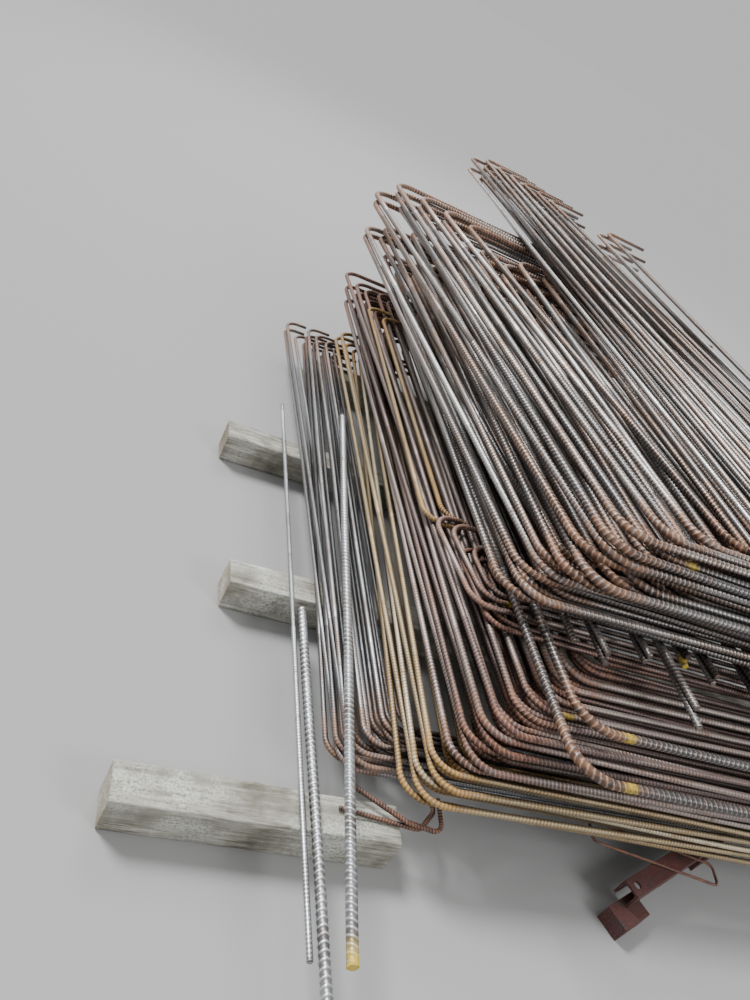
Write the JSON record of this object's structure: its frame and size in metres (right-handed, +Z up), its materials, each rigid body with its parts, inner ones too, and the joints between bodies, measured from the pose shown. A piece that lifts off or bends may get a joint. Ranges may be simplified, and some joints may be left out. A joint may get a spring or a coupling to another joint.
{
  "type": "rebar bundle",
  "caption": "Stack of bent reinforcing bars, U shapes nested in crossing levels, resting on timber bearers and a steel channel.",
  "frame": {"origin": "on the ground, under the middle of the stack's footprint", "axes": "+Z up; +Y along the bars' long legs, away from their front bends; +X along the front legs, away from the corner"},
  "size_m": [3.3108, 5.0381, 0.8261],
  "materials": {
    "grey_steel": "mill-grey ribbed reinforcing steel with light rust",
    "ochre_rust": "ochre-yellow rusted ribbed steel",
    "brown_rust": "brown-purple rusted ribbed steel",
    "dark_steel": "dark grey-brown ribbed steel, orange rust at the bends",
    "timber": "weathered grey-green sawn timber",
    "red_oxide_paint": "dull red-oxide primer, chipped and dirty"
  },
  "bodies": {
    "root": {"bar_link": "brown_rust", "brown_bars_1": "brown_rust", "brown_bars_2": "brown_rust", "brown_bars_3": "brown_rust", "brown_bars_4": "brown_rust", "brown_bars_5": "brown_rust", "brown_bars_6": "brown_rust", "far_timber": "timber", "front_timber": "timber", "grey_bars_1": "grey_steel", "grey_bars_2": "grey_steel", "grey_bars_3": "grey_steel", "grey_bars_4": "grey_steel", "grey_bars_5": "grey_steel", "hooked_bars_1": "ochre_rust", "hooked_offcuts": "brown_rust", "loose_bar_on_grey": "grey_steel", "loose_thick_bar": "grey_steel", "loose_thin_bar": "grey_steel", "middle_timber": "timber", "ochre_bars_1": "ochre_rust", "ochre_bars_2": "ochre_rust", "ochre_bars_3": "ochre_rust", "ochre_bars_4": "ochre_rust", "ochre_bars_5": "ochre_rust", "overhanging_bars_1": "dark_steel", "packing_plates": "red_oxide_paint", "rear_timber": "timber", "short_leg_bars_1": "brown_rust", "short_leg_bars_2": "brown_rust", "steel_channel": "red_oxide_paint", "straight_bars_1": "dark_steel", "straight_bars_2": "dark_steel", "thick_lower_bars_1": "dark_steel", "thick_lower_bars_2": "dark_steel", "thick_lower_bars_3": "dark_steel", "thick_lower_bars_4": "dark_steel", "thick_lower_bars_5": "dark_steel", "thick_upper_bars_1": "dark_steel", "thick_upper_bars_2": "dark_steel", "thick_upper_bars_3": "dark_steel", "thick_upper_bars_4": "dark_steel", "thick_upper_bars_5": "dark_steel", "thick_upper_bars_6": "dark_steel", "top_bars_1": "dark_steel", "top_bars_2": "dark_steel", "top_bars_3": "dark_steel", "top_bars_4": "dark_steel", "top_bars_5": "dark_steel"}
  },
  "joints": []
}
